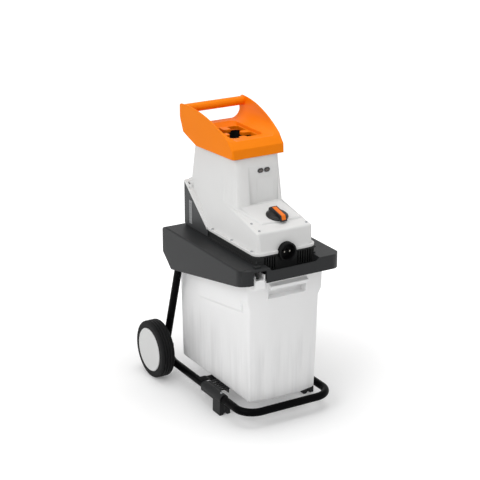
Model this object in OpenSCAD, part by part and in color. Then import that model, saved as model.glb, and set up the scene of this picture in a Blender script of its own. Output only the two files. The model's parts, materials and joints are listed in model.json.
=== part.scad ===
// Garden shredder: quiet roller type on a tube frame with a slide-out box.
// Origin on the floor under the middle of the bounding box, +Z up, front faces -Y.

/* [Chassis] */
// Outside diameter of the frame tube
tube_d = 26; // [20:1:32]
// Wall thickness of the frame tube
tube_wall = 2; // [1.5:0.5:3]
// Half the distance between the two lower rails
rail_x = 166; // [150:1:168]
// Height of the rail centre above the floor
rail_z = 56; // [50:1:64]
// Position of the front cross tube
front_tube_y = -308; // [-312:1:-300]
// Centre-line radius of the tube bends
bend_r = 60; // [50:1:65]
// Lean of the rear legs from the vertical
leg_lean = 17.6; // [10:0.2:20]

/* [Wheels] */
// Wheel diameter
wheel_d = 200; // [180:2:210]
// Tyre width
tyre_w = 50; // [36:1:52]
// Diameter of the pale wheel disc
disc_d = 152; // [130:1:160]
// Position of the axle
axle_y = 221; // [215:1:230]
// Axle diameter
axle_d = 12; // [10:1:14]

/* [Deck] */
// Overhang of the deck beyond the leg tubes
deck_margin = 6; // [5:1:12]
// Height of the deck top
deck_z = 547; // [540:1:556]
// Front face of the deck
deck_front_y = -321; // [-330:1:-318]
// Height of the front wall of the deck
deck_front_h = 48; // [40:1:50]
// Wall thickness of the deck
deck_wall = 4; // [3:0.5:4.5]

/* [Housing] */
// Half width of the shell flange
flange_w = 114.5; // [112:0.5:116]
// Ledge of the flange beyond the white shell
flange_step = 10; // [8:0.5:12]
// How far each side of the shell leans in by the top
shell_taper = 17.5; // [14:0.5:20]
// Wall thickness of the shells
shell_wall = 3.5; // [2.5:0.5:4]
// Height of the black neck above the deck
neck_rise = 26; // [22:1:32]
// Front of the tower at its foot
tower_front_y = -119; // [-124:1:-114]
// Height of the white tower above the neck
tower_h = 287; // [280:1:300]
// Height of the hopper floor above the tower
hopper_lift = 29; // [26:1:34]
// Height of the hopper walls above the floor
hopper_rise = 74; // [60:1:90]
// Diameter of the hand bar
bar_d = 30; // [24:1:32]

/* [Box] */
// Gap between the box rim and the deck skirt
box_top_gap = 5; // [4:1:10]
// Gap between the box and the leg tubes
box_side_gap = 9; // [8:1:16]
// How far each side of the box leans in by the floor
box_draft = 7; // [4:1:12]
// Wall thickness of the box
box_wall = 3; // [2.5:0.5:4]

/* [Cutting unit] */
// Diameter of the cutting roller
roller_d = 90; // [80:1:92]
// Number of cutting teeth round the roller
roller_teeth = 8; // [6:1:10]
// Gap between the roller and the counter plate before it is set
plate_gap = 4.6; // [4.3:0.1:6]

/* [Hidden] */
$fn = 48;
fit_gap = 0.3;
run_gap = 0.08;
seat_gap = 0.15;
clamp_gap = 0.4;

tube_r = tube_d / 2;
wheel_r = wheel_d / 2;
axle_r = axle_d / 2;
axle_z = wheel_r;
rail_top = rail_z + tube_r;
leg_top_z = deck_z - 32;
rear_bend_z = rail_z + bend_r;
rear_bend_y = axle_y - sqrt(bend_r * bend_r - (rear_bend_z - axle_z) * (rear_bend_z - axle_z));
leg_foot_y = rear_bend_y + bend_r * cos(leg_lean);
leg_foot_z = rear_bend_z + bend_r * sin(leg_lean);
leg_len = (leg_top_z - leg_foot_z) / cos(leg_lean);
rest_z = rail_top + fit_gap;
hub_in_x = rail_x + tube_r + 6;
wheel_in_x = hub_in_x + 2;
wheel_out_x = wheel_in_x + tyre_w;
disc_r = disc_d / 2;

deck_half_w = rail_x + tube_r + deck_margin;
deck_bottom_z = deck_z - deck_front_h;
deck_back_y = 222;
neck_w = flange_w - 6;
neck_front_y = -275;
neck_back_y = 173;
neck_floor_z = deck_z - 35;
flange_z = deck_z + neck_rise;
box_rim_z = deck_bottom_z - box_top_gap;
box_rim_w = rail_x - tube_r - box_side_gap;
box_foot_w = box_rim_w - 12 - box_draft;
notch_x = 24 - box_rim_w;
pocket_x0 = notch_x + 36;
pocket_x1 = 100;
latch_y = -299;
latch_travel = 12;
tab_z = deck_z - 20;
tab_lip_z = tab_z - 16;

shell_base_w = flange_w - flange_step;
shell_top_w = shell_base_w - shell_taper;
tower_top_z = flange_z + tower_h;
hood_front_y = -276;
hood_edge_y = -272;
hood_edge_z = flange_z + 72.6;
hood_back_z = flange_z + 104;
hood_tilt = atan2(hood_back_z - hood_edge_z, tower_front_y - hood_edge_y);
hood_edge_r = 10;
hood_back_y = tower_front_y + 80;
tower_back_y = 146;
split_low = [28, flange_z];
split_high = [182, flange_z + 127];
split_angle = atan2(split_high[1] - split_low[1], split_high[0] - split_low[0]);
rear_w = flange_w - 1;
plateau_x0 = -60;
plateau_x1 = 88;
plateau_flare = 0.246;
plateau_tilt = 11.7;
plateau_y = -225;
plateau_z = flange_z + 88;
plateau_edge_r = 6;
knob_x = 14;
knob_y = -199;
knob_z = plateau_z + (knob_y - plateau_y) * tan(plateau_tilt);
knob_r = 36;
panel_y = -107;
panel_x0 = -36;
panel_x1 = shell_top_w - 14;
panel_z0 = flange_z + 114;
panel_z1 = flange_z + 242;
inlet_z = flange_z + 2;
inlet_r = 31;
inlet_y = -290;

hopper_wall = 4;
hopper_floor_z = tower_top_z + hopper_lift;
hopper_low_z = hopper_floor_z - 50;
hopper_front_y = tower_front_y + 9;
hopper_back_y = 203;
hopper_front_w = 95;
hopper_back_w = 118;
hopper_flare = (hopper_back_w - hopper_front_w) / (hopper_back_y - hopper_front_y);
hopper_top_z = hopper_floor_z + hopper_rise;
tub_r = 45;
bar_y = 179;
bar_z = hopper_top_z - bar_d / 2 - 2;
throat = [-60, 60, -40, 125];

roller_r = roller_d / 2;
roller_y = 20;
roller_z = flange_z + 49;
case_x = neck_w - 72.5;
roller_x0 = -44;
roller_x1 = case_x - 4;
roller_mid = (roller_x0 + roller_x1) / 2;
shaft_r = 12.5;
frame_x = roller_x0 - 18;
frame_t = 12;
case_t = 6;
cover_x = case_x + 52;
screw_z = roller_z - 7;
screw_r = 5;
plate_back = roller_y + roller_r + plate_gap + 22;
bar_front = plate_back + 8;

pressure_angle = 25;
stage = [[12, 54, 1.5], [12, 48, 2], [12, 48, 2.5]];
centre_gap = [for (s = stage) s[2] * (s[0] + s[1]) / 2 + 0.05];
motor_y = -155;
motor_z = flange_z + 17;
motor_r = 58;
motor_at = [motor_y, motor_z];
roller_at = [roller_y, roller_z];
train_span = norm(roller_at - motor_at);
train_dir = (roller_at - motor_at) / train_span;
first_at = motor_at + train_dir * centre_gap[0];
rest_span = train_span - centre_gap[0];
bend_cos = (centre_gap[2] * centre_gap[2] + rest_span * rest_span - centre_gap[1] * centre_gap[1])
    / (2 * centre_gap[2] * rest_span);
back_angle = atan2(-train_dir[1], -train_dir[0]) + acos(bend_cos);
second_at = roller_at + centre_gap[2] * [cos(back_angle), sin(back_angle)];
layer_x = [case_x + 14, case_x + 25, case_x + 37];
layer_w = [8, 9, 12];

function unit(v) = v / norm(v);
function heading(a, b) = atan2(b[1] - a[1], b[0] - a[0]);
function arc(c, r, a0, a1, n) =
    [for (i = [0:n]) c + r * [cos(a0 + (a1 - a0) * i / n), sin(a0 + (a1 - a0) * i / n)]];
function corner(a, p, b, r, n) = r <= 0 ? [p] :
    let (u = unit(a - p), v = unit(b - p), half = acos(u * v) / 2)
    let (c = p + unit(u + v) * r / sin(half), s = p + u * r / tan(half) - c, e = p + v * r / tan(half) - c)
    let (a0 = atan2(s[1], s[0]), turn = (atan2(e[1], e[0]) - a0 + 540) % 360 - 180)
    arc(c, r, a0, a0 + turn, n);
function rounded(pts, radii, n = 4) = let (k = len(pts))
    [for (i = [0:k - 1])
        each corner(pts[(i + k - 1) % k], pts[i], pts[(i + 1) % k], is_list(radii) ? radii[i] : radii, n)];
function rect(x0, x1, y0, y1) = [[x0, y0], [x1, y0], [x1, y1], [x0, y1]];
function at_height(pts, z) = [for (p = pts) [p[0], p[1], z]];
function shell_w(z) = shell_base_w
    - (z - flange_z) * (shell_base_w - shell_top_w) / (tower_top_z - flange_z);
function hopper_w(y) = hopper_front_w + (y - hopper_front_y) * hopper_flare;
function along_split(t, off) = split_low + t * (split_high - split_low)
    + off * [-sin(split_angle), cos(split_angle)];

module side_prism(pts, x0, x1) {
    rotate([90, 0, 90]) translate([0, 0, x0]) linear_extrude(x1 - x0) polygon(pts);
}
module front_prism(pts, y0, y1) {
    translate([0, y1, 0]) rotate([90, 0, 0]) linear_extrude(y1 - y0) polygon(pts);
}
module plan_prism(pts, z0, z1) {
    translate([0, 0, z0]) linear_extrude(z1 - z0) polygon(pts);
}
module block(x0, x1, y0, y1, z0, z1) {
    translate([x0, y0, z0]) cube([x1 - x0, y1 - y0, z1 - z0]);
}
module rod_x(x0, x1, at, r) {
    translate([x0, at[0], at[1]]) rotate([0, 90, 0]) cylinder(r = r, h = x1 - x0);
}
module rod_y(y0, y1, at, r) {
    translate([at[0], y0, at[1]]) rotate([-90, 0, 0]) cylinder(r = r, h = y1 - y0);
}
module rod_z(z0, z1, at, r) {
    translate([at[0], at[1], z0]) cylinder(r = r, h = z1 - z0);
}
module both_sides() {
    children();
    mirror([1, 0, 0]) children();
}
// Skin over rings that hold the same number of points, from the lowest ring to the highest
module loft(rings) {
    n = len(rings[0]);
    m = len(rings);
    skin = [for (j = [0:m - 2]) for (i = [0:n - 1]) let (k = (i + 1) % n)
        each [[j * n + i, j * n + n + i, j * n + n + k], [j * n + i, j * n + n + k, j * n + k]]];
    foot = [for (i = [0:n - 1]) i];
    head = [for (i = [n - 1:-1:0]) (m - 1) * n + i];
    polyhedron([for (ring = rings) each ring], concat([foot, head], skin));
}

// Tube frame
module tube_cut() {
    difference() {
        circle(tube_r);
        circle(tube_r - tube_wall);
    }
}
module tube_bend(angle) {
    rotate(-90) rotate_extrude(angle = angle) translate([bend_r, 0]) tube_cut();
}
rail_half = (rear_bend_y - front_tube_y - bend_r) / 2 + 1;
module frame_hoop() {
    color("#1c1c1e") difference() {
        union() {
            both_sides() {
                translate([rail_x, rear_bend_y, rear_bend_z]) rotate([90, 0, 90]) tube_bend(90 + leg_lean);
                translate([rail_x, front_tube_y + bend_r, rail_z]) rotate([-90, 0, 0])
                    linear_extrude(rail_half) tube_cut();
                translate([rail_x, rear_bend_y, rail_z]) rotate([90, 0, 0])
                    linear_extrude(rail_half) tube_cut();
                translate([rail_x - bend_r, front_tube_y + bend_r, rail_z]) tube_bend(90);
            }
            translate([bend_r - rail_x, front_tube_y, rail_z]) rotate([0, 90, 0])
                linear_extrude(2 * (rail_x - bend_r)) tube_cut();
        }
        both_sides() rod_x(rail_x - 20, rail_x + 20, [axle_y, axle_z], axle_r + seat_gap);
    }
}
module leg_tube(side) {
    translate([side * rail_x, leg_foot_y, leg_foot_z]) rotate([leg_lean, 0, 0])
        translate([0, 0, 0.05]) linear_extrude(leg_len) tube_cut();
}
module left_leg_tube() { color("#1c1c1e") leg_tube(-1); }
module right_leg_tube() { color("#1c1c1e") leg_tube(1); }
module box_rest() {
    thick = 3;
    inner = rail_x - 28;
    outer = rail_x - 18;
    high = rail_top + 0.1;
    top = [[-rail_x - 8, high + thick], [-outer, high + thick], [-inner, rest_z], [inner, rest_z],
        [outer, high + thick], [rail_x + 8, high + thick]];
    under = [[rail_x + 8, high], [outer + 1, high], [inner + 1, rest_z - thick],
        [-inner - 1, rest_z - thick],
        [-outer - 1, high], [-rail_x - 8, high]];
    color("#222224") front_prism(concat(top, under), foot_y1 + 3, foot_y1 + 35);
}

// Feet
foot_y0 = -172;
foot_y1 = -43;
foot_leg = [-171, -125];
saddle_r = tube_r + 3;
saddle_top = rail_z + saddle_r;
foot_screw_y = foot_y0 + 16;
module foot(side) {
    bore = tube_r + clamp_gap;
    mirror([side < 0 ? 1 : 0, 0, 0]) difference() {
        union() {
            rod_y(foot_y0, foot_y1, [rail_x, rail_z], saddle_r);
            block(rail_x - saddle_r, rail_x + saddle_r, foot_y0, foot_y1, rail_z - tube_r, rail_z);
            front_prism(rounded([[rail_x - 24, 0], [rail_x + 17, 0], [rail_x + saddle_r, rail_z - 6],
                [rail_x - 22, rail_z - 6]], [3, 3, 0, 0]), foot_leg[0], foot_leg[1]);
            block(rail_x - 62, rail_x - 8, foot_leg[1] - 1, foot_y1 - 1, rest_z - 5, rest_z);
            block(rail_x - 46, rail_x - 42, foot_leg[1] - 1, foot_y1 - 1, rest_z - 18, rest_z - 4);
        }
        rod_y(foot_y0 - 1, foot_y1 + 1, [rail_x, rail_z], bore);
        block(rail_x - bore, rail_x + bore, foot_leg[1] - 3, foot_y1 + 1, 0, rail_z);
        for (y = [foot_leg[1] + 5:14:foot_y1 - 9]) block(rail_x - 40, rail_x - 20, y, y + 8, rest_z - 9,
            rest_z + 4);
        rod_y(foot_leg[0] - 1, foot_leg[1] + 1, [rail_x - 4, 0], 7);
        rod_z(rail_top, saddle_top + 4, [rail_x, foot_screw_y], 2.2);
    }
}
module left_foot() { color("#202022") foot(-1); }
module right_foot() { color("#202022") foot(1); }
module foot_screws() {
    color("#9a9a9c") both_sides() {
        rod_z(saddle_top, saddle_top + 2.5, [rail_x, foot_screw_y], 4.5);
        rod_z(rail_top + 0.2, saddle_top, [rail_x, foot_screw_y], 2);
    }
}

// Axle and wheels
cap_x = wheel_in_x + tyre_w - 8;
module axle(side) {
    head_x = rail_x - tube_r - 0.1;
    mirror([side < 0 ? 1 : 0, 0, 0]) {
        rod_x(head_x - 1, cap_x + 3, [axle_y, axle_z], axle_r);
        translate([head_x - 7, axle_y, axle_z]) rotate([0, 90, 0]) cylinder(r = axle_r + 4.5, h = 7,
            $fn = 6);
    }
}
module left_axle() { color("#b8b8ba") axle(-1); }
module right_axle() { color("#b8b8ba") axle(1); }
module axle_spacers() {
    color("#2a2a2c") both_sides() difference() {
        rod_x(rail_x + tube_r + 0.1, hub_in_x - fit_gap, [axle_y, axle_z], axle_r + 5);
        rod_x(rail_x, hub_in_x, [axle_y, axle_z], axle_r + seat_gap);
    }
}
module axle_caps() {
    color("#8e8e90") both_sides() difference() {
        rod_x(cap_x + fit_gap, cap_x + 5, [axle_y, axle_z], axle_r + 4);
        rod_x(cap_x, cap_x + 3.2, [axle_y, axle_z], axle_r + seat_gap);
    }
}
module on_axle(side) {
    mirror([side < 0 ? 1 : 0, 0, 0]) translate([wheel_in_x, axle_y, axle_z]) rotate([0, 90, 0]) children();
}
module tyre(side) {
    groove = [for (k = [0:3]) tyre_w * (0.2 + 0.2 * k)];
    shoulder = 9;
    outline = concat([[disc_r + 0.1, 0]],
        arc([wheel_r - shoulder, shoulder], shoulder, -90, 0, 4),
        [for (g = groove) each [[wheel_r, g - 1.5], [wheel_r - 3, g - 1], [wheel_r - 3, g + 1],
            [wheel_r, g + 1.5]]],
        arc([wheel_r - shoulder, tyre_w - shoulder], shoulder, 0, 90, 4), [[disc_r + 0.1, tyre_w]]);
    on_axle(side) rotate_extrude($fn = 72) polygon(outline);
}
module rim(side) {
    on_axle(side) difference() {
        union() {
            rotate_extrude($fn = 72) polygon([[axle_r, -2], [17, -2], [17, 16], [disc_r - 7, 16],
                [disc_r - 7, 1],
                [disc_r, 1], [disc_r, tyre_w - 1], [disc_r - 7, tyre_w - 1], [disc_r - 7, 21], [17, 21],
                [17, tyre_w - 8], [axle_r, tyre_w - 8]]);
            for (k = [0:7]) rotate(45 * k) block(14, disc_r - 5, -2, 2, 3, 17);
        }
        translate([0, 0, -3]) cylinder(r = axle_r + run_gap, h = tyre_w);
    }
}
module hub_cap(side) {
    on_axle(side) difference() {
        rotate_extrude($fn = 72) polygon(concat([[0, tyre_w - 0.8]], [[disc_r - 1, tyre_w - 0.8]],
            arc([disc_r - 3, tyre_w], 2, 0, 90, 3), [[disc_r - 7, tyre_w + 2], [disc_r - 9, tyre_w + 1.2],
            [24, tyre_w + 2], [0, tyre_w + 2]]));
        for (k = [0, 180]) rotate(k + 20) translate([disc_r - 12, 0, tyre_w + 0.6]) cylinder(r = 4, h = 3);
    }
}
module left_tyre() { color("#262628") tyre(-1); }
module right_tyre() { color("#262628") tyre(1); }
module left_rim() { color("#d9d9d6") rim(-1); }
module right_rim() { color("#d9d9d6") rim(1); }
module left_hub_cap() { color("#e6e6e4") hub_cap(-1); }
module right_hub_cap() { color("#e6e6e4") hub_cap(1); }

// Deck tray
module deck_form(inset) {
    low = deck_z - 250;
    side = inset > 0
        ? [[deck_front_y + inset, low - 10], [deck_back_y - inset - 1, low - 10],
            [deck_back_y - inset - 1, deck_z - 81],
            [deck_back_y - 6 - inset, deck_z - 34], [deck_back_y - 42, deck_z - inset],
            [deck_front_y + inset, deck_z - inset]]
        : rounded([[deck_front_y, deck_bottom_z], [150, deck_z - 139], [deck_back_y, deck_z - 79],
            [deck_back_y - 12, deck_z], [deck_front_y, deck_z]], [4, 14, 10, 30, 5], 5);
    w = deck_half_w - inset;
    r = max(5 - inset, 1);
    intersection() {
        side_prism(side, -w, w);
        front_prism(rounded([[-w, low], [w, low], [w, deck_z - inset], [-w, deck_z - inset]],
            [0, 0, r, r], 5),
            -400, 400);
        plan_prism(rounded(rect(-w, w, deck_front_y + inset, deck_back_y + (inset > 0 ? -inset : 0)),
            [42 - inset, 42 - inset, 20 - inset, 20 - inset], 7), low, deck_z + 100);
    }
}
module leg_sleeve(r, low, high) {
    both_sides() translate([rail_x, leg_foot_y, leg_foot_z]) rotate([leg_lean, 0, 0])
        translate([0, 0, low]) cylinder(r = r, h = high - low);
}
module deck() {
    sleeve_low = (deck_z - 123 - leg_foot_z) / cos(leg_lean);
    pocket_z = deck_z - 38;
    sill_z = deck_z - 10;
    over = deck_z + 50;
    color("#434345") difference() {
        union() {
            difference() {
                deck_form(0);
                deck_form(deck_wall);
            }
            intersection() {
                leg_sleeve(tube_r + 3.5, sleeve_low, leg_len + 40);
                deck_form(1);
                block(-300, 300, -300, 300, deck_z - 150, deck_z - 1);
            }
            block(pocket_x0 - 4, pocket_x1 + 4, deck_front_y + 1, neck_front_y - 2, pocket_z - 4,
                deck_z - 1);
        }
        leg_sleeve(tube_r + seat_gap, 0, leg_len + 1);
        plan_prism(rounded(rect(-neck_w - 1, neck_w + 1, neck_front_y - 1, neck_back_y + 1), 6),
            deck_z - 67, over);
        block(pocket_x0, pocket_x1, deck_front_y + deck_wall, neck_front_y, pocket_z, over);
        front_prism(rounded([[pocket_x0, over], [pocket_x0, sill_z], [pocket_x1 - 16, sill_z],
            [pocket_x1, deck_z],
            [pocket_x1, over]], [0, 9, 12, 0, 0]), deck_front_y - 1, deck_front_y + 10);
        front_prism(rounded(rect(notch_x - 23, notch_x + 23, deck_z - 147, deck_z - 6), [0, 0, 5, 5]),
            deck_front_y - 1, deck_front_y + 9);
        block(notch_x - 9 - fit_gap, notch_x + 11 + fit_gap, latch_y - 7 - fit_gap, latch_y + 7 + fit_gap,
            deck_z - 17, over);
    }
}

// Black neck that carries the drive
module neck_ring(w, y0, y1, z0, z1, r) {
    plan_prism(rounded(rect(-w, w, y0, y1), r), z0, z1);
}
module lower_housing() {
    wall = 3;
    color("#19191b") difference() {
        union() {
            neck_ring(neck_w, neck_front_y, neck_back_y, neck_floor_z, flange_z - 0.2, 6);
            intersection() {
                neck_ring(rear_w, neck_front_y - 4, neck_back_y + 4, deck_z + 0.2, deck_z + 3.2, 8);
                union() {
                    block(-200, 200, neck_front_y + 2, 300, neck_floor_z, flange_z);
                    block(-200, pocket_x0 - 1, -400, 0, neck_floor_z, flange_z);
                }
            }
            neck_ring(flange_w - 1, neck_front_y - 5, roller_y, flange_z - 5, flange_z - 0.2, 8);
            block(roller_x0 - 8, roller_x1 + 8, roller_y - 60, roller_y + 60, neck_floor_z - 12,
                neck_floor_z + 1);
        }
        neck_ring(neck_w - wall, neck_front_y + wall, neck_back_y - wall, neck_floor_z + wall,
            flange_z + 20, 4);
        block(roller_x0 - 4, roller_x1 + 3, roller_y - 56, roller_y + 56, neck_floor_z - 20,
            neck_floor_z + 18);
        rod_y(inlet_y - 10, inlet_y + 60, [0, inlet_z], inlet_r + seat_gap);
        for (x = [-78:9:-40]) block(x, x + 4.5, neck_front_y - 15, neck_front_y + wall + 1,
            neck_floor_z + 8, flange_z - 8);
        for (x = [44:9:92]) block(x, x + 4.5, neck_front_y - 15, neck_front_y + wall + 1,
            neck_floor_z + 8, flange_z - 8);
        both_sides() for (y = flange_screw_y) rod_z(flange_z - 13, flange_z + 7, [flange_screw_x, y], 2.1);
    }
}

// White upper shell
flange_screw_x = flange_w - 5.2;
flange_screw_y = [-247, -124, -1];
hood_screw_x = shell_base_w - 18;
hood_screw_at = [[-hood_screw_x, -257], [-hood_screw_x, -209], [hood_screw_x, -257]];
flange_band = 9;
split_screw_t = 0.88;
tower_lean = (tower_front_y - hopper_front_y - 7) / (hood_back_z - hopper_low_z - 1);
function hood_height(y) = hood_edge_z + (y - hood_edge_y) * tan(hood_tilt);
module taper_prism(inset, grow = 0) {
    w0 = shell_w(flange_z - 20) - inset + grow;
    w1 = shell_w(tower_top_z + 60) - inset + grow;
    front_prism([[-w0, flange_z - 20], [w0, flange_z - 20], [w1, tower_top_z + 60],
        [-w1, tower_top_z + 60]],
        -400, 400);
}
module tower_form(inset, top) {
    low = inset > 0 ? flange_z - 20 : flange_z;
    front_top = tower_front_y + (top - hood_back_z) * tower_lean;
    front_low = tower_front_y + (low - hood_back_z) * tower_lean;
    knee = split_high[1];
    intersection() {
        taper_prism(inset);
        side_prism([[front_low + inset, low], [160, low], along_split(0.99, -20), [181 - inset, knee],
            [181 - inset, knee + 6 - inset], [160 - inset, knee + 16],
                [tower_back_y - inset, hopper_low_z + 1],
            [tower_back_y - inset, top], [front_top + inset, top]], -150, 150);
        plan_prism(rounded(rect(-shell_w(low) + inset, shell_w(low) - inset, front_low + inset,
            182 - inset),
            [0, 0, 12, 12]), low, top);
        tower_corner_trim(inset, low, top);
    }
}
module tower_corner_trim(inset, low, top) {
    r = 18;
    facet_y = tower_front_y + 82;
    ring = function (z) let (w = shell_w(z) - inset,
        front = tower_front_y + (z - hood_back_z) * tower_lean + inset)
        at_height(rounded([[-w + 10, front], [w - 10, front], [w + 1, facet_y], [w + 1, 260], [-w - 1, 260],
            [-w - 1, facet_y]], [r, r, 0, 0, 0, 0], 4), z);
    loft([ring(low), ring(top)]);
}
module hood_form(inset) {
    low = inset > 0 ? flange_z - 20 : flange_z;
    intersection() {
        taper_prism(inset > 0 ? inset + 0.5 : 0);
        side_prism(rounded([[hood_front_y + inset, low], [hood_back_y, low],
            [hood_back_y, hood_height(hood_back_y) - inset], [hood_edge_y + inset, hood_edge_z - inset]],
            [0, 0, 0, max(8 - inset, 3)]), -150, 150);
        plan_prism(rounded(rect(-shell_w(low) + inset, shell_w(low) - inset, hood_front_y + inset, 100),
            [22, 22, 0, 0], 6), low, tower_top_z);
        hood_side(inset);
        mirror([1, 0, 0]) hood_side(inset);
    }
}
// Region on the inner side of one long upper edge of the hood, with the edge rounded
module hood_side(inset) {
    w0 = shell_w(hood_edge_z) - inset;
    w1 = shell_w(hood_back_z) - inset;
    turn = atan((w0 - w1) / (tower_front_y - hood_edge_y));
    drop = 200;
    out = drop * shell_taper / tower_h + 2;
    translate([w0 + 0.4, hood_edge_y, hood_edge_z - inset + 0.3]) rotate([hood_tilt, 0, turn])
        front_prism(rounded([[-300, -drop], [out, -drop], [0, 0], [-300, 0]],
            [0, 0, hood_edge_r - inset, 0], 6),
            -100, 300);
}
function plateau_left(y) = plateau_x0 - (y - plateau_y) * plateau_flare;
flare_turn = atan(plateau_flare * cos(plateau_tilt));
module plateau_form(inset) {
    y1 = tower_front_y + 20;
    low = plateau_z - 41;
    slope = tan(plateau_tilt);
    r = plateau_edge_r - inset;
    intersection() {
        side_prism(rounded([[plateau_y - 10, low], [y1, low],
            [y1, plateau_z + (y1 - plateau_y) * slope - inset],
            [plateau_y + inset, plateau_z - inset], [plateau_y - 8 + inset, plateau_z - 15]],
                [0, 0, 0, 5, 0]),
            -200, 200);
        plan_prism(rounded([[plateau_left(plateau_y - 9) + inset, plateau_y - 9],
            [plateau_x1 - inset, plateau_y - 9], [plateau_x1 - inset, y1], [plateau_left(y1) + inset, y1]],
            [14, 14, 0, 0]), low - 20, plateau_z + 60);
        translate([0, plateau_y, plateau_z - inset + 0.2]) rotate([plateau_tilt, 0, 0]) {
            translate([plateau_x0 + inset - 0.2, 0, 0]) rotate([0, 0, flare_turn])
                front_prism(rounded(rect(0, 320, -100, 0), [0, 0, 0, r]), -100, 200);
        }
        translate([0, plateau_y, plateau_z - inset + 0.3]) rotate([plateau_tilt, 0, 0])
            front_prism(rounded(rect(-300, plateau_x1 - inset + 0.2, -100, 0), [0, 0, r, 0]), -100, 200);
        taper_prism(inset);
    }
}
module flange_form() {
    band = flange_band;
    high = split_high[1] + 20;
    intersection() {
        union() {
            neck_ring(flange_w, hood_front_y - 5, 40, flange_z, flange_z + band, 26);
            side_prism([along_split(0, 0), along_split(1, 0), along_split(1, 6), along_split(0.99, band),
                along_split(0.02, band)], -flange_w, flange_w);
            rod_x(-flange_w, flange_w, along_split(split_screw_t, band - 3), 13);
        }
        side_prism([[-300, flange_z], split_low, split_high, [split_high[0], high], [-300, high]], -200,
            200);
    }
}
module on_split(t) {
    at = along_split(t, 0);
    both_sides() translate([flange_screw_x, at[0], at[1]]) rotate([split_angle, 0, 0]) children();
}
module upper_shell() {
    color("#ececea") difference() {
        union() {
            difference() {
                union() {
                    tower_form(0, tower_top_z);
                    hood_form(0);
                    plateau_form(0);
                    flange_form();
                }
                panel_cut(0);
                side_prism([[-400, flange_z - 70], [300, flange_z - 70], along_split(2, 0), split_low,
                    [-400, flange_z]],
                    -200, 200);
            }
        }
        difference() {
            union() {
                tower_form(shell_wall, tower_top_z + 10);
                hood_form(shell_wall);
                plateau_form(shell_wall);
            }
            panel_cut(shell_wall);
        }
        rod_y(inlet_y - 10, inlet_y + 60, [0, inlet_z], inlet_r + seat_gap);
        on_plateau() cylinder(r = 6.5, h = 60, center = true);
        both_sides() for (y = flange_screw_y) {
            rod_z(flange_z - 70, flange_z + 30, [flange_screw_x, y], 2.2);
            rod_z(flange_z + flange_band, flange_z + 26, [flange_screw_x, y], 5);
        }
        on_split(split_screw_t) {
            translate([0, 0, -10]) cylinder(r = 2.2, h = 40);
            translate([0, 0, flange_band]) cylinder(r = 5, h = 17);
        }
        for (p = hood_screw_at) on_hood(p) cylinder(r = 2.2, h = 40, center = true);
        for (x = lamp_x) front_prism(lamp_outline(x, seat_gap), panel_y - 23, panel_y + 17);
    }
}
module panel_cut(back) {
    low = panel_z0 - back;
    high = panel_z1 + back;
    side_prism([[panel_y - 40, low], [panel_y + back, low], [panel_y + 1 + back, high],
        [panel_y - 40, high]],
        panel_x0 - back, panel_x1 + back);
}
module on_plateau() {
    translate([knob_x, knob_y, knob_z]) rotate([plateau_tilt, 0, 0]) children();
}
module on_hood(p) {
    translate([p[0], p[1], hood_height(p[1])]) rotate([hood_tilt, 0, 0]) children();
}
lamp_x = [8, 32];
lamp_z = panel_z1 - 23;
function lamp_outline(x, grow) =
    rounded(rect(x - 9.5 - grow, x + 9.5 + grow, lamp_z - 6.5 - grow, lamp_z + 6.5 + grow), 6.4, 6);
module indicator_lamps() {
    color("#5d2a20") for (x = lamp_x) {
        front_prism(lamp_outline(x, 0), panel_y - 2, panel_y + 8);
    }
}
module panel_label() {
    z0 = panel_z0 + 7;
    z1 = panel_z0 + 81;
    color("#cfcfcc") side_prism([[panel_y - 0.9, z0], [panel_y - 0.05, z0], [panel_y + 0.5, z1],
        [panel_y - 0.4, z1]],
        -5, 57);
}
module flange_screws() {
    color("#8a8a8c") {
        both_sides() for (y = flange_screw_y) translate([flange_screw_x, y, flange_z]) flange_screw();
        on_split(split_screw_t) flange_screw();
    }
}
module flange_screw() {
    translate([0, 0, flange_band + 0.05]) cylinder(r = 4.4, h = 3);
    translate([0, 0, -4.5]) cylinder(r = 1.9, h = flange_band + 4.6);
}
module hood_screws() {
    color("#8a8a8c") for (p = hood_screw_at) on_hood(p) {
        translate([0, 0, 0.1]) cylinder(r = 4.2, h = 2);
        translate([0, 0, -9]) cylinder(r = 1.9, h = 9.2);
    }
}

// Dark rear housing and its vents
vent_y = 139;
vent_z = flange_z + 29;
vent_w = 18;
vent_h = 80;
module rear_form(inset) {
    low = deck_z + 3.4;
    high = split_high[1] + 60;
    side_prism(inset > 0
        ? [[26, low - 10], [182 - inset, low - 10], [182 - inset, high], [split_low[0] - 40, high]]
        : rounded([[24, low], [182, low], along_split(1, -0.2), along_split(0, -0.2), [24, flange_z - 5.4]],
            [0, 8, 0, 0, 0]), -rear_w + inset, rear_w - inset);
}
module rear_housing() {
    color("#3f3f42") difference() {
        rear_form(0);
        difference() {
            rear_form(shell_wall);
            block(-200, 200, 170, 190, deck_z - 47, deck_z - 7);
        }
        neck_ring(flange_w + 1, neck_front_y - 15, roller_y + 0.3, deck_z - 47, split_high[1], 8);
        on_split(split_screw_t) translate([0, 0, -12]) cylinder(r = 2.1, h = 14);
        both_sides() block(rear_w - 10, rear_w + 10, vent_y - vent_w / 2, vent_y + vent_w / 2,
            vent_z - vent_h / 2, vent_z + vent_h / 2);
        rod_y(150, 200, [roller_mid, screw_z], screw_r + 2);
        for (x = [-72:12:-34]) block(x, x + 6, 170, 190, flange_z - 3, flange_z + 87);
        for (x = [28:12:74]) block(x, x + 6, 170, 190, flange_z - 3, flange_z + 87);
    }
}
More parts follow.
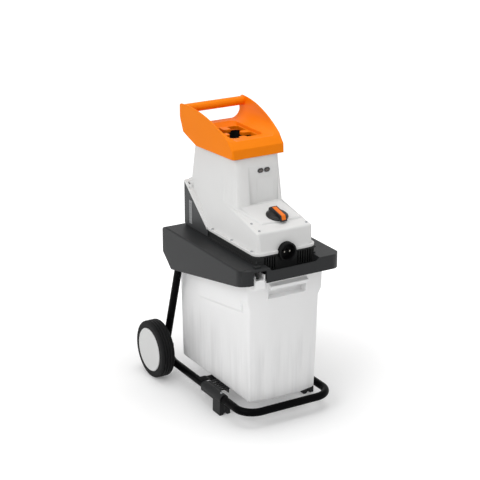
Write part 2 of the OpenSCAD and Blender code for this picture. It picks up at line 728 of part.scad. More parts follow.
module vent_grille(side) {
    mirror([side < 0 ? 1 : 0, 0, 0]) difference() {
        block(rear_w - 3, rear_w + 0.4, vent_y - vent_w / 2 + 0.2, vent_y + vent_w / 2 - 0.2,
            vent_z - vent_h / 2 + 0.2, vent_z + vent_h / 2 - 0.2);
        for (k = [0:7]) translate([rear_w - 1.5, vent_y, vent_z - vent_h / 2 + 9.5 + k * 8.7])
            rotate([0, 30, 0]) cube([12, vent_w - 5, 3.6], center = true);
    }
}
module left_vent_grille() { color("#a9aaac") vent_grille(-1); }
module right_vent_grille() { color("#a9aaac") vent_grille(1); }

// Orange hopper
module hopper_plan(inset) {
    y0 = -160;
    y1 = 260;
    w0 = hopper_w(y0) - inset;
    w1 = hopper_w(y1) - inset;
    plan_prism([[-w0, y0], [w0, y0], [w1, y1], [-w1, y1]], hopper_low_z - 40, hopper_top_z + 100);
}
// Space inside one side wall of the tub, with the sweep between floor and wall
module tub_half(grow) {
    low = hopper_floor_z - grow - 0.5;
    high = hopper_top_z + 80;
    translate([hopper_w(0) - hopper_wall + grow, 0, 0]) rotate(-atan(hopper_flare))
        front_prism(rounded([[-400, low], [0, low], [0, high], [-400, high]], [0, tub_r + grow, 0, 0], 8),
            -400, 400);
}
module tub_form(grow) {
    f = hopper_floor_z - grow;
    high = hopper_top_z + 60;
    intersection() {
        side_prism([[-160, f + 4], [hopper_front_y + 25, f + 4], [throat[2] - 5, f], [260, f], [260, high],
            [-160, high]], -140, 140);
        tub_half(grow);
        mirror([1, 0, 0]) tub_half(grow);
    }
}
throat_rect = rect(throat[0], throat[1], throat[2], throat[3]);
skirt_h = 24;
function inward(d) = [[d, d], [-d, d], [-d, -d], [d, -d]];
module hopper() {
    f = hopper_floor_z;
    low = hopper_low_z;
    crest = [165, hopper_top_z];
    lip = [hopper_front_y + 25, f + 4];
    run = crest - lip;
    sweep_r = run * run / (2 * run[1]);
    sweep_end = 90 + asin(run[0] / sweep_r);
    back = [[103, low - 1], [180, f - 21], [hopper_back_y, f + 36], [hopper_back_y, hopper_top_z - 1]];
    outer = concat([[hopper_front_y, low + 1]], rounded(concat([[0, low]], back, [crest]),
        [0, 16, 20, 14, 16, 0]),
        arc(crest - [0, sweep_r], sweep_r, 91, sweep_end, 9), [[hopper_front_y + 2, f - 18]]);
    color("#e8641c") difference() {
        union() {
            difference() {
                intersection() {
                    side_prism(outer, -140, 140);
                    hopper_plan(0);
                    plan_prism(rounded(rect(-hopper_back_w, hopper_back_w, hopper_front_y,
                        hopper_back_y + 2),
                        [0, 0, 10, 10]), low - 30, hopper_top_z + 50);
                }
                tub_form(0);
                difference() {
                    intersection() {
                        side_prism([[hopper_front_y + 4, low - 19], [99, low - 19], [99, low + 3],
                            [176, f - 17],
                            [181, f - 4], [193, f + 25], [-15, f + 25], [-50, f - 4], [lip[0] + 1, f - 1],
                            [hopper_front_y + 6, f - 19]], -140, 140);
                        hopper_plan(hopper_wall);
                    }
                    tub_form(hopper_wall);
                }
            }
            loft([at_height(rounded(throat_rect, 18), f - skirt_h),
                at_height(rounded(throat_rect + [[-2, 0], [7, 0], [7, 41], [-2, 41]], 23), f - 1)]);
        }
        loft([at_height(rounded(throat_rect + inward(3), 15), f - skirt_h - 0.01),
            at_height(rounded(throat_rect + [[1, 3], [4, 3], [4, 38], [1, 38]], 20), f + 5)]);
        tower_form(-1, tower_top_z + 2);
    }
}
module handle_bar() {
    color("#e8641c") intersection() {
        rod_x(-140, 140, [bar_y, bar_z], bar_d / 2);
        hopper_plan(hopper_wall + 0.1);
    }
}
module feed_guard() {
    z0 = hopper_floor_z - skirt_h + 5.5;
    z1 = hopper_floor_z - 7;
    x = throat[1] - 3.6;
    y0 = throat[2] + 3.6;
    y1 = throat[3] - 3.6;
    mid = (y0 + y1) / 2;
    color("#e8641c") {
        difference() {
            plan_prism(rounded(rect(-x, x, y0, y1), 14.7), z0, z1);
            plan_prism(rounded(rect(-x + 5, x - 5, y0 + 5, y1 - 5), 10), z0 - 1, z1 + 1);
        }
        both_sides() plan_prism(rounded(rect(22, x - 3, mid - 13, mid + 13), [9, 0, 0, 9]), z0, z1);
        plan_prism(rounded(rect(-13, 13, y0 + 3, y0 + 36), [0, 0, 9, 9]), z0, z1);
        plan_prism(rounded(rect(-13, 13, y1 - 36, y1 - 3), [9, 9, 0, 0]), z0, z1);
    }
}
chute_low_z = roller_z + 71;
module feed_chute() {
    top_z = hopper_floor_z - skirt_h - 0.1;
    lift = 3;
    low = rect(roller_x0 - 8, roller_x1 + 2, roller_y - 52, roller_y + 52);
    high = throat_rect;
    rim = rect(throat[0] - 6, throat[1] + 6, throat[2] - 6, throat[3] + 6);
    wall = inward(3);
    outer = [at_height(rounded(low, 8, 3), chute_low_z), at_height(rounded(high, 16, 3), top_z - lift)];
    inner = [at_height(rounded(low + wall, 5, 3), chute_low_z - 0.01),
        at_height(rounded(high + wall, 13, 3), top_z - lift + 0.01)];
    color("#141415") {
        difference() {
            loft(outer);
            loft(inner);
        }
        difference() {
            plan_prism(rounded(rim, 20), top_z - lift, top_z - 0.05);
            plan_prism(rounded(high + wall, 13), top_z - 10, top_z + 1);
        }
    }
}

// Power inlet, switch and latch
module power_inlet() {
    color("#121213") difference() {
        rod_y(inlet_y, inlet_y + 52, [0, inlet_z], inlet_r);
        rod_y(inlet_y - 1, inlet_y + 24, [0, inlet_z], inlet_r - 5);
        for (x = [-9.5, 9.5]) rod_y(inlet_y + 20, inlet_y + 38, [x, inlet_z], 2.4 + seat_gap);
    }
}
module inlet_pins() {
    color("#c9b26a") for (x = [-9.5, 9.5]) rod_y(inlet_y + 7, inlet_y + 36, [x, inlet_z], 2.4);
}
module switch_unit() {
    top = -shell_wall - 1.5;
    color("#303236") on_plateau() difference() {
        translate([-22, -19, -24]) cube([44, 38, 24 + top]);
        translate([0, 0, -21]) cylinder(r = 5 + run_gap, h = 30);
    }
}
ridge = [[-knob_r - 8, 1], [1 - knob_r, 19], [knob_r - 9, 20], [knob_r - 1, 12], [knob_r - 1, 1]];
ridge_up = unit(ridge[1] - ridge[0]);
ridge_out = [-ridge_up[1], ridge_up[0]];
insert_w = 7.2;
insert_t = 2.2;
insert_proud = 0.4;
insert_back = knob_r - 14;
// Outline of the strip that lies on the top and front of the ridge
function insert_outline(out, sink, side) =
    let (foot = ridge[0] + ridge_up * (5.6 - side))
    [foot + ridge_out * out, ridge[1] + ridge_out * out * 0.8 + [0, out],
        [insert_back + side, ridge[2][1] + out],
        [insert_back + side, ridge[2][1] - sink], ridge[1] + [sink * 0.7, -sink], foot - ridge_out * sink];
module switch_knob() {
    color("#151516") on_plateau() {
        translate([0, 0, -20]) cylinder(r = 5, h = 22);
        translate([0, 0, 0.4]) cylinder(r = knob_r, h = 3.2);
        translate([0, 0, 3.5]) cylinder(r1 = knob_r - 0.5, r2 = knob_r - 8, h = 6);
        difference() {
            side_prism(rounded(ridge, [2, 4, 5, 4, 0]), -12, 12);
            side_prism(insert_outline(12, insert_t + seat_gap, seat_gap), -insert_w - seat_gap,
                insert_w + seat_gap);
        }
    }
}
module knob_insert() {
    color("#e8641c") on_plateau() side_prism(rounded(insert_outline(insert_proud, insert_t, 0),
        [0, 3.5, 0, 0, 1, 0]), -insert_w, insert_w);
}
module box_latch() {
    color("#161617") {
        block(notch_x - 9, notch_x + 11, latch_y - 7, latch_y + 7, deck_z - 7, deck_z + 6);
        rod_z(tab_lip_z + 1.3, deck_z - 6, [notch_x + 1, latch_y], 6);
    }
}
module interlock_switch() {
    color("#26282c") difference() {
        block(notch_x - 21, notch_x + 9, neck_front_y - 13, neck_front_y - 2.5, tab_z + 1,
            deck_z - deck_wall - 0.1);
        for (x = [-15, 3]) rod_y(neck_front_y - 20, neck_front_y, [notch_x + x, tab_z + 7], 1.6);
    }
}

// Collecting box
box_z0 = rest_z + fit_gap;
box_back_y = 192;
box_step_z = box_rim_z - 94;
grip_w = 70;
function box_ring(z, w, y0, inset) = at_height(rounded([[-w + inset, y0 + 14 + inset],
    [-w + 70, y0 + inset],
    [w - 70, y0 + inset], [w - inset, y0 + 14 + inset], [w - inset, box_back_y - inset],
    [-w + inset, box_back_y - inset]], [9, 160, 160, 9, 16, 16], 4), z);
function box_w(z) = box_foot_w + (box_rim_w - 12 - box_foot_w) * (z - box_z0) / (box_step_z - box_z0);
module box_form(inset) {
    low = inset > 0 ? box_z0 + inset : box_z0;
    top = inset > 0 ? box_rim_z + 1 : box_rim_z - 8;
    loft([box_ring(low, box_w(low) - 4, -272, inset), box_ring(low + 6, box_w(low + 6), -276, inset),
        box_ring(box_step_z, box_w(box_step_z), -283, inset),
        box_ring(box_step_z + 24, box_rim_w - 3, -287, inset), box_ring(top, box_rim_w - 2, -288, inset)]);
}
// Stiffening ribs inside the box walls, low down
module box_ribs() {
    low = box_z0;
    both_sides() for (y = [-226, -140, -90, -42, 25]) block(box_foot_w - 9, box_rim_w, y, y + 3, low,
        low + 126);
    for (x = [-42, 22, 66]) block(x, x + 3, -300, -266, low, low + (x < 0 ? 190 : 150));
}
module lock_tab() {
    x = notch_x + 1;
    difference() {
        plan_prism(rounded(rect(x - 20, x + 20, deck_front_y + 4, neck_front_y - 1.5), [3, 3, 0, 0]),
            box_rim_z - 14, tab_z);
        block(x - 16, x + 16, deck_front_y, neck_front_y + 15, tab_lip_z, tab_z + 5);
        plan_prism(rounded(rect(x - 8, x + 8, latch_y - 8, latch_y + 8), 3), tab_lip_z - 14, tab_z);
    }
}
module collecting_box() {
    top = box_rim_z;
    step = box_step_z;
    color("#e2e4e4", 0.85) difference() {
        union() {
            box_form(0);
            difference() {
                plan_prism([for (p = box_ring(0, box_rim_w + 2, -292, 0)) [p[0], p[1]]], box_rim_z - 8,
                    box_rim_z);
                plan_prism([for (p = box_ring(0, box_rim_w, -289, 3)) [p[0], p[1]]], 0, box_rim_z + 1);
            }
            both_sides() intersection() {
                translate([0, -236, step - 14]) rotate([-atan(41 / 277), 0, 0])
                    front_prism([[box_rim_w - 28, -16], [box_rim_w - 14, -13], [box_rim_w - 4, 0],
                        [box_rim_w - 4, 110], [box_rim_w - 28, 110]], 0, 282);
                block(0, 300, -236, 41, step - 100, step + 40);
            }
            lock_tab();
            side_prism(rounded([[-280, top - 46], [-303, top - 34], [-303, top - 19], [-280, top - 8]],
                [0, 6, 3, 0]),
                -grip_w, grip_w);
        }
        difference() {
            box_form(box_wall);
            block(-grip_w - 3, grip_w + 3, -300, -257, top - 69, top - 23);
            box_ribs();
            block(notch_x - 22, notch_x + 24, -300, -268, box_rim_z - 14, box_rim_z + 2);
        }
        block(-grip_w, grip_w, -330, -260, top - 65, top - 30);
        side_prism([[-301, top - 28], [-296, top - 38], [-263, top - 38], [-263, top - 26],
            [-301, top - 26]],
            -grip_w + 4, grip_w - 4);
    }
}

// Cutting unit
module roller_outline() {
    step = 360 / roller_teeth;
    hook = [for (k = [0:roller_teeth - 1]) each [
        (roller_r) * [cos(k * step), sin(k * step)],
        (roller_r - 1) * [cos(k * step + 6), sin(k * step + 6)],
        (roller_r - 10) * [cos(k * step + 20), sin(k * step + 20)],
        (roller_r - 14) * [cos(k * step + 34), sin(k * step + 34)],
        (roller_r - 11) * [cos(k * step + 44), sin(k * step + 44)]]];
    polygon(hook);
}
module cutting_roller() {
    color("#77797c") difference() {
        translate([roller_x0, roller_y, roller_z]) rotate([90, 0,
            90]) linear_extrude(roller_x1 - roller_x0) roller_outline();
        for (x = [roller_x0 + 10:10:roller_x1 - 6]) difference() {
            rod_x(x, x + 2, roller_at, roller_r + 2);
            rod_x(x - 1, x + 3, roller_at, roller_r - 9);
        }
        rod_x(roller_x0 - 1, roller_x1 + 1, roller_at, shaft_r + seat_gap);
    }
}
module roller_shaft() {
    color("#9c9ea2") rod_x(frame_x + 1, layer_x[2] + layer_w[2], roller_at, shaft_r);
}
module roller_bearings() {
    color("#b4b6ba") {
        bearing_ring(frame_x + 1, frame_x + frame_t - 1);
        bearing_ring(case_x + 0.5, case_x + case_t + 4);
    }
}
module bearing_ring(x0, x1) {
    difference() {
        rod_x(x0, x1, roller_at, 21);
        rod_x(x0 - 1, x1 + 1, roller_at, shaft_r + run_gap);
    }
}
module cutter_frame() {
    front = roller_y - 60;
    back = roller_y + 58;
    top = chute_low_z - 2;
    color("#8b8e92") difference() {
        union() {
            side_prism(rounded([[front, neck_floor_z + 3.2], [plate_back + 20, neck_floor_z + 3.2],
                [plate_back + 20, roller_z + 28], [back, top], [front, top]], [4, 4, 10, 10, 4]), frame_x,
                    frame_x + frame_t);
            block(frame_x, case_x - 0.2, front, front + 8, roller_z - 30, top);
            block(frame_x, case_x - 0.2, bar_front, bar_front + 12, roller_z - 26, roller_z + 24);
            block(frame_x, case_x - 0.2, back - 6, back, roller_z + 26, top);
            block(frame_x, case_x - 0.2, back - 6, bar_front + 6, roller_z + 23.5, roller_z + 28);
        }
        rod_x(frame_x - 1, frame_x + frame_t + 1, roller_at, 21 + seat_gap);
        rod_y(bar_front - 1, bar_front + 13, [roller_mid, screw_z], screw_r + run_gap);
    }
}
module pressure_plate() {
    color("#a3a6aa") difference() {
        block(frame_x + frame_t + 1, case_x - 1, roller_y + 20, plate_back, roller_z - 34, roller_z + 21);
        rod_x(-100, 100, roller_at, roller_r + plate_gap);
        rod_y(plate_back - 16, plate_back + 1, [roller_mid, screw_z], screw_r + run_gap);
        block(-100, 100, 0, roller_y + 34, roller_z - 90, roller_z + 90);
    }
}
module adjusting_screw() {
    color("#b9bbbe") {
        rod_y(plate_back - 8, 198, [roller_mid, screw_z], screw_r);
        rod_y(bar_front - 4, bar_front - fit_gap, [roller_mid, screw_z], 9);
        rod_y(bar_front + 12 + fit_gap, bar_front + 16, [roller_mid, screw_z], 9);
    }
}
module adjusting_knob() {
    color("#1a1a1b") difference() {
        translate([roller_mid, 185, screw_z]) rotate([-90, 0, 0]) {
            cylinder(r = 9, h = 6);
            difference() {
                translate([0, 0, 4]) cylinder(r = 18, h = 16);
                for (k = [0:5]) rotate(60 * k) translate([21, 0, 3]) cylinder(r = 6, h = 18);
            }
        }
        rod_y(184, 198.2, [roller_mid, screw_z], screw_r + seat_gap);
    }
}

// Gear train and motor
function roll_angle(a) = tan(a) * 180 / PI - a;
function tooth_half(teeth, m, r) = let (pitch_r = m * teeth / 2, base_r = pitch_r * cos(pressure_angle))
    (90 - 0.22 / m * 180 / PI) / teeth + roll_angle(pressure_angle) - roll_angle(acos(min(1, base_r / r)));
module gear_outline(teeth, m, phase) {
    pitch_r = m * teeth / 2;
    root_r = pitch_r - 1.2 * m;
    foot_r = max(root_r, pitch_r * cos(pressure_angle));
    flank = [for (r = [foot_r, pitch_r, pitch_r + 0.9 * m]) [r, tooth_half(teeth, m, r)]];
    rise = concat([[root_r, flank[0][1]]], foot_r > root_r ? flank : [flank[1], flank[2]]);
    n = len(rise);
    polygon([for (k = [0:teeth - 1]) let (c = phase + 360 * k / teeth)
        each concat([for (p = rise) p[0] * [cos(c - p[1]), sin(c - p[1])]],
            [for (i = [n - 1:-1:0]) rise[i][0] * [cos(c + rise[i][1]), sin(c + rise[i][1])]])]);
}
module gear_at(at, layer, teeth, m, phase) {
    translate([layer_x[layer], at[0], at[1]]) rotate([90, 0, 90]) linear_extrude(layer_w[layer])
        gear_outline(teeth, m, phase);
}
module pinion(i, a, b) { gear_at(a, i, stage[i][0], stage[i][2], heading(a, b)); }
module wheel_gear(i, a, b) { gear_at(b, i, stage[i][1], stage[i][2], heading(b, a) + 180 / stage[i][1]); }
motor_x0 = 26.5 - neck_w;
motor_x1 = case_x - 0.2;
fan_x = motor_x0 - 14;
module rotor() {
    color("#a7a9ad") {
        rod_x(fan_x, layer_x[0] + 1, motor_at, 7);
        rod_x(motor_x0 + 22, motor_x1 - 24, motor_at, 30);
        pinion(0, motor_at, first_at);
    }
}
module motor_fan() {
    color("#2d2f33") difference() {
        union() {
            rod_x(fan_x, fan_x + 3, motor_at, 44);
            rod_x(fan_x, fan_x + 11, motor_at, 12);
            for (k = [0:6]) translate([fan_x + 2, motor_y, motor_z]) rotate([360 / 7 * k, 0, 0])
                translate([0, 10, -1]) cube([8, 32, 2]);
        }
        rod_x(fan_x - 1, fan_x + 12, motor_at, 7 + seat_gap);
    }
}
module motor_can() {
    color("#6f7276") difference() {
        rod_x(motor_x0, motor_x1, motor_at, motor_r);
        rod_x(motor_x0 + 4, motor_x0 + 20, motor_at, motor_r - 5);
        rod_x(motor_x0 + 19, motor_x1 - 21, motor_at, 31);
        rod_x(motor_x1 - 22, motor_x1 - 4, motor_at, motor_r - 5);
        rod_x(motor_x0 - 1, motor_x1 + 1, motor_at, 7 + run_gap);
    }
}
module capacitor() {
    at = [-250, neck_floor_z + 3 + 15.2];
    color("#c6c8ca") {
        rod_x(16.5 - neck_w, 68.5 - neck_w, at, 15);
        rod_x(68 - neck_w, 71.5 - neck_w, at, 11);
    }
}
module case_outline(x0, x1, k) {
    rod_x(x0, x1, roller_at, 69 - k);
    rod_x(x0, x1, second_at, 57 - k);
    rod_x(x0, x1, first_at, 49 - k);
    rod_x(x0, x1, motor_at, 30 - k);
}
counter_r = 7;
module gear_case() {
    color("#909398") difference() {
        union() {
            case_outline(case_x, cover_x, 0);
            block(case_x, cover_x, -62, -30, neck_floor_z + 3.2, roller_z - 62);
            block(case_x, cover_x, 40, 70, neck_floor_z + 3.2, roller_z - 42);
        }
        case_outline(case_x + case_t, cover_x + 1, 4);
        rod_x(case_x - 1, case_x + case_t + 6, roller_at, 21 + seat_gap);
        rod_x(case_x - 1, case_x + case_t + 1, motor_at, 12);
        for (c = [first_at, second_at]) rod_x(case_x + 2, case_x + case_t + 1, c, counter_r + run_gap);
    }
}
module gear_cover() {
    color("#85888c") difference() {
        case_outline(cover_x + 0.2, cover_x + 3.2, 0);
        for (c = [first_at, second_at]) rod_x(cover_x - 1, cover_x + 2, c, counter_r + run_gap);
    }
}
module first_gear() {
    color("#d8cfae") {
        rod_x(case_x + 2.3, cover_x + 1.7, first_at, counter_r);
        wheel_gear(0, motor_at, first_at);
        pinion(1, first_at, second_at);
    }
}
module second_gear() {
    color("#d8cfae") {
        rod_x(case_x + 2.3, cover_x + 1.7, second_at, counter_r);
        wheel_gear(1, first_at, second_at);
        pinion(2, second_at, roller_at);
    }
}
module output_gear() {
    color("#b6b8bc") difference() {
        wheel_gear(2, second_at, roller_at);
        rod_x(layer_x[2] - 1, layer_x[2] + layer_w[2] + 1, roller_at, shaft_r + seat_gap);
    }
}

frame_hoop();
left_leg_tube();
right_leg_tube();
box_rest();
left_foot();
right_foot();
foot_screws();
left_axle();
right_axle();
axle_spacers();
axle_caps();
left_tyre();
left_rim();
left_hub_cap();
right_tyre();
right_rim();
right_hub_cap();
deck();
lower_housing();
upper_shell();
indicator_lamps();
panel_label();
flange_screws();
hood_screws();
rear_housing();
left_vent_grille();
right_vent_grille();
hopper();
handle_bar();
feed_guard();
feed_chute();
power_inlet();
inlet_pins();
switch_unit();
switch_knob();
knob_insert();
box_latch();
interlock_switch();
collecting_box();
cutting_roller();
roller_shaft();
roller_bearings();
cutter_frame();
pressure_plate();
adjusting_screw();
adjusting_knob();
rotor();
motor_fan();
motor_can();
capacitor();
gear_case();
gear_cover();
first_gear();
second_gear();
output_gear();
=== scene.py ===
import json
import math
import bmesh
import bpy
from mathutils import Matrix, Vector


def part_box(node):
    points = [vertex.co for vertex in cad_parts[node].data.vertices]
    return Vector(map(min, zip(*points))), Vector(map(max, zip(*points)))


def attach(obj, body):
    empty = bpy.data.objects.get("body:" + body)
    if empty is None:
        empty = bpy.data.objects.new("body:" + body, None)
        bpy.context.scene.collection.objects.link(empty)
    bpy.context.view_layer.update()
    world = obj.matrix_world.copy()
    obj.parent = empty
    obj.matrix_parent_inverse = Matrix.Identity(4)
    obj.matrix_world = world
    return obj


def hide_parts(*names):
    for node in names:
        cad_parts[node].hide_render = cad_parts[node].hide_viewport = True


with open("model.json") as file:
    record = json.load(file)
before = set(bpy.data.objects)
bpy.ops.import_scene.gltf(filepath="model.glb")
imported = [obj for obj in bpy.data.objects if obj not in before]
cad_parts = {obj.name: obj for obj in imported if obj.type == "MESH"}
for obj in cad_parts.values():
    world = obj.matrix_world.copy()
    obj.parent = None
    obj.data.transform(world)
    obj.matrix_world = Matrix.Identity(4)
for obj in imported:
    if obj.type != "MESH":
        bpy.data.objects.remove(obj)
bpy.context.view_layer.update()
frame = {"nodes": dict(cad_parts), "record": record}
nodes = frame["nodes"]
bodyOf = {name: body for body, names in frame["record"]["behaviour"]["bodies"].items() for name in names}
print("frame: %d nodes" % len(nodes))


def clearPick():
    for item in bpy.context.selected_objects:
        item.select_set(False)


def pick(item):
    clearPick()
    item.select_set(True)
    bpy.context.view_layer.objects.active = item


def ownCopy(model, name):  # a copy with its own mesh
    one = model.copy()
    one.data = model.data.copy()
    one.name = name
    bpy.context.scene.collection.objects.link(one)
    return one


def settle(piece, body, slot, *stands):  # a finished piece gets its body, and the nodes it shows are hidden
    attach(piece, body)
    if stands:
        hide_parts(*stands)
    return piece


def facing(place, aim):  # the turn that points a camera or a light at its aim
    return (Vector(aim) - Vector(place)).to_track_quat("-Z", "Y").to_euler()


# the camera stands at the photo's viewing angle
shot = {"place": (-2.3710, -4.0250, 2.2002), "aim": (-0.12515, -0.2045, 0.61117), "lens": 112.79, "sensor": 36}


def setCamera():
    data = bpy.data.cameras.new("studioCamera")
    data.lens = shot["lens"]
    data.sensor_width = shot["sensor"]
    camera = bpy.data.objects.new("studioCamera", data)
    bpy.context.scene.collection.objects.link(camera)
    camera.location = shot["place"]
    camera.rotation_euler = facing(shot["place"], shot["aim"])
    bpy.context.scene.camera = camera


setCamera()
print("camera set")


class Wire:  # a socket that takes part in plain sums
    def __init__(self, paint, socket):
        self.paint = paint
        self.socket = socket

    def __add__(self, other):
        return self.paint.maths("ADD", self, other)

    __radd__ = __add__

    def __mul__(self, other):
        return self.paint.maths("MULTIPLY", self, other)

    __rmul__ = __mul__

    def __sub__(self, other):
        return self.paint.maths("SUBTRACT", self, other)

    def __rsub__(self, other):
        return self.paint.maths("SUBTRACT", other, self)


def tint(code):  # a web colour as the light it stands for
    parts = [int(code[i:i + 2], 16) / 255 for i in (1, 3, 5)]
    return tuple(c / 12.92 if c <= 0.04045 else ((c + 0.055) / 1.055) ** 2.4 for c in parts) + (1,)


class Paint:  # one material, or the world, with its nodes
    def __init__(self, name, surface="ShaderNodeBsdfPrincipled", shelf="materials",
                 end="ShaderNodeOutputMaterial"):
        self.material = getattr(bpy.data, shelf).new(name)
        self.material.use_nodes = True
        self.tree = self.material.node_tree
        self.tree.nodes.clear()
        self.surface = self.tree.nodes.new(surface)
        self.tree.links.new(self.surface.outputs[0], self.tree.nodes.new(end).inputs["Surface"])

    def node(self, kind, settings=None, sockets=None, out=0):
        made = self.tree.nodes.new(kind)
        for key, value in (settings or {}).items():
            setattr(made, key, value)
        for key, value in (sockets or {}).items():
            self.join(made.inputs[key], value)
        return Wire(self, made.outputs[out])

    def join(self, socket, value):
        if isinstance(value, Wire):
            self.tree.links.new(value.socket, socket)
        else:
            socket.default_value = value

    def maths(self, operation, first, second):
        return self.node("ShaderNodeMath", {"operation": operation}, {0: first, 1: second})

    def place(self):
        return self.node("ShaderNodeTexCoord", None, None, "Object")

    def noise(self, scale, detail=2, rough=0.5, where=None):
        return self.node("ShaderNodeTexNoise", None, {"Vector": where or self.place(), "Scale": scale,
                                                      "Detail": detail, "Roughness": rough}, "Fac")

    def mix(self, share, first, second):
        return self.node("ShaderNodeMix", {"data_type": "RGBA"}, {0: share, 6: first, 7: second}, 2)

    def bump(self, height, depth, strength, under=None):
        sockets = {"Height": height, "Distance": depth, "Strength": strength}
        if under:
            sockets["Normal"] = under
        return self.node("ShaderNodeBump", None, sockets)

    def seenRay(self):  # 1 for the rays that look at the backdrop straight, in a mirror or through glass
        path = self.node("ShaderNodeLightPath").socket.node
        rays = [Wire(self, path.outputs["Is %s Ray" % kind]) for kind in ("Camera", "Glossy", "Transmission")]
        return self.maths("MAXIMUM", self.maths("MAXIMUM", rays[0], rays[1]), rays[2])

    def set(self, **values):
        for key, value in values.items():
            self.join(self.surface.inputs[key.replace("_", " ")], value)


mould = {"cloud": 7, "flow": 60, "flowDepth": 0.0002, "flowShow": 0.15, "grainShow": 0.7,
         "wander": 0.06, "ior": 1.49}
plastics = {  # moulded plastics: colour, how far it wanders, roughness, gloss, grain a metre and depth
    "hopperOrange": {"colour": "#fa8704", "deep": "#f47f02", "rough": 0.42, "gloss": 0.10,
                     "grain": 1500, "depth": 0.00012},
    "shellWhite": {"colour": "#e3e3e2", "deep": "#dcdcdb", "rough": 0.40, "gloss": 0.40,
                   "grain": 1700, "depth": 0.00008},
    "deckGrey": {"colour": "#292a2b", "deep": "#242526", "rough": 0.46, "gloss": 0.18,
                 "grain": 1100, "depth": 0.00022},
    "neckBlack": {"colour": "#2a2b2b", "deep": "#242525", "rough": 0.46, "gloss": 0.20,
                  "grain": 1100, "depth": 0.00016},
    "rearGrey": {"colour": "#3f4041", "deep": "#353637", "rough": 0.50, "gloss": 0.30,
                 "grain": 1100, "depth": 0.00020},
    "ventGrey": {"colour": "#9c9d9e", "deep": "#8f9192", "rough": 0.45, "gloss": 0.40,
                 "grain": 1500, "depth": 0.00010},
    "knobBlack": {"colour": "#131314", "deep": "#0e0e0f", "rough": 0.40, "gloss": 0.35,
                  "grain": 1400, "depth": 0.00012},
    "knobOrange": {"colour": "#f57c14", "deep": "#ec710c", "rough": 0.38, "gloss": 0.25,
                   "grain": 1500, "depth": 0.00008},
    "footBlack": {"colour": "#1a1b1c", "deep": "#141516", "rough": 0.46, "gloss": 0.22,
                  "grain": 1000, "depth": 0.00020},
    "discPale": {"colour": "#dcdcdb", "deep": "#d2d3d2", "rough": 0.42, "gloss": 0.40,
                 "grain": 1600, "depth": 0.00008},
    "chuteBlack": {"colour": "#101011", "deep": "#0c0c0d", "rough": 0.55, "gloss": 0.12,
                   "grain": 1000, "depth": 0.00016},
    "gearNylon": {"colour": "#dcd2b2", "deep": "#cfc39f", "rough": 0.48, "gloss": 0.40,
                  "grain": 1500, "depth": 0.00006},
    "plateBare": {"colour": "#e4e4e3", "deep": "#dddedd", "rough": 0.32, "gloss": 0.45,
                  "grain": 2600, "depth": 0.00003},
}


def plastic(name):
    look = plastics[name]
    paint = Paint(name)
    cloud = paint.noise(mould["cloud"], 3)
    grain = paint.noise(look["grain"], 2, 0.6)
    flow = paint.bump(paint.noise(mould["flow"], 2), mould["flowDepth"], mould["flowShow"])
    wander = mould["wander"]
    paint.set(Base_Color=paint.mix(cloud, tint(look["deep"]), tint(look["colour"])),
              Roughness=look["rough"] - wander + cloud * wander + grain * wander,
              Normal=paint.bump(grain, look["depth"], mould["grainShow"], flow),
              IOR=mould["ior"], Specular_IOR_Level=look["gloss"])
    return paint.material


worked = {"cloud": 9, "dark": 0.82, "coatRough": 0.12, "gloss": 0.5, "markShow": 0.5, "cloudTint": 0.6,
          "markTint": 0.4, "smoother": 0.08, "markRough": 0.10, "cloudRough": 0.06}
metals = {  # metals: colour, roughness, how much the tool marks show and along which way they run
    "enamelBlack": {"colour": "#060607", "rough": 0.30, "metal": 0.0, "marks": (60, 60, 60),
                    "depth": 0.0003, "coat": 0.0, "gloss": 0.03},
    "zincSteel": {"colour": "#b4b6b9", "rough": 0.34, "metal": 1.0, "marks": (900, 900, 900),
                  "depth": 0.00005, "coat": 0.0},
    "turnedSteel": {"colour": "#a2a4a8", "rough": 0.30, "metal": 1.0, "marks": (1800, 60, 60),
                    "depth": 0.00006, "coat": 0.0},
    "castAlloy": {"colour": "#9a9da1", "rough": 0.50, "metal": 1.0, "marks": (420, 420, 420),
                  "depth": 0.0003, "coat": 0.0},
    "toolSteel": {"colour": "#6f7276", "rough": 0.40, "metal": 1.0, "marks": (500, 120, 120),
                  "depth": 0.00015, "coat": 0.0},
    "canGrey": {"colour": "#6a6d71", "rough": 0.42, "metal": 0.6, "marks": (300, 300, 300),
                "depth": 0.0001, "coat": 0.1},
    "stackSteel": {"colour": "#8f9195", "rough": 0.38, "metal": 1.0, "marks": (2000, 8, 8),
                   "depth": 0.0002, "coat": 0.0},
    "pinNickel": {"colour": "#8e8b84", "rough": 0.30, "metal": 1.0, "marks": (300, 1500, 300),
                  "depth": 0.00004, "coat": 0.0},
}


def metal(name):
    look = metals[name]
    paint = Paint(name)
    stretched = paint.node("ShaderNodeMapping", None, {"Vector": paint.place(), "Scale": look["marks"]})
    marks = paint.noise(1, 3, 0.6, stretched)
    cloud = paint.noise(worked["cloud"], 2)
    base = tint(look["colour"])
    dark = tuple(c * worked["dark"] for c in base[:3]) + (1,)
    share = cloud * worked["cloudTint"] + marks * worked["markTint"]
    worn = marks * worked["markRough"]
    paint.set(Base_Color=paint.mix(share, dark, base),
              Roughness=look["rough"] - worked["smoother"] + worn + cloud * worked["cloudRough"],
              Metallic=look["metal"], Coat_Weight=look["coat"], Coat_Roughness=worked["coatRough"],
              Specular_IOR_Level=look.get("gloss", worked["gloss"]),
              Normal=paint.bump(marks, look["depth"], worked["markShow"]))
    return paint.material


rubber = {"colour": "#131314", "deep": "#0d0d0e", "rough": 0.67, "wander": 0.12, "cloud": 18, "cloudTint": 0.7,
          "grain": 700, "grainTint": 0.3, "depth": 0.0003, "grainShow": 0.6, "gloss": 0.2}


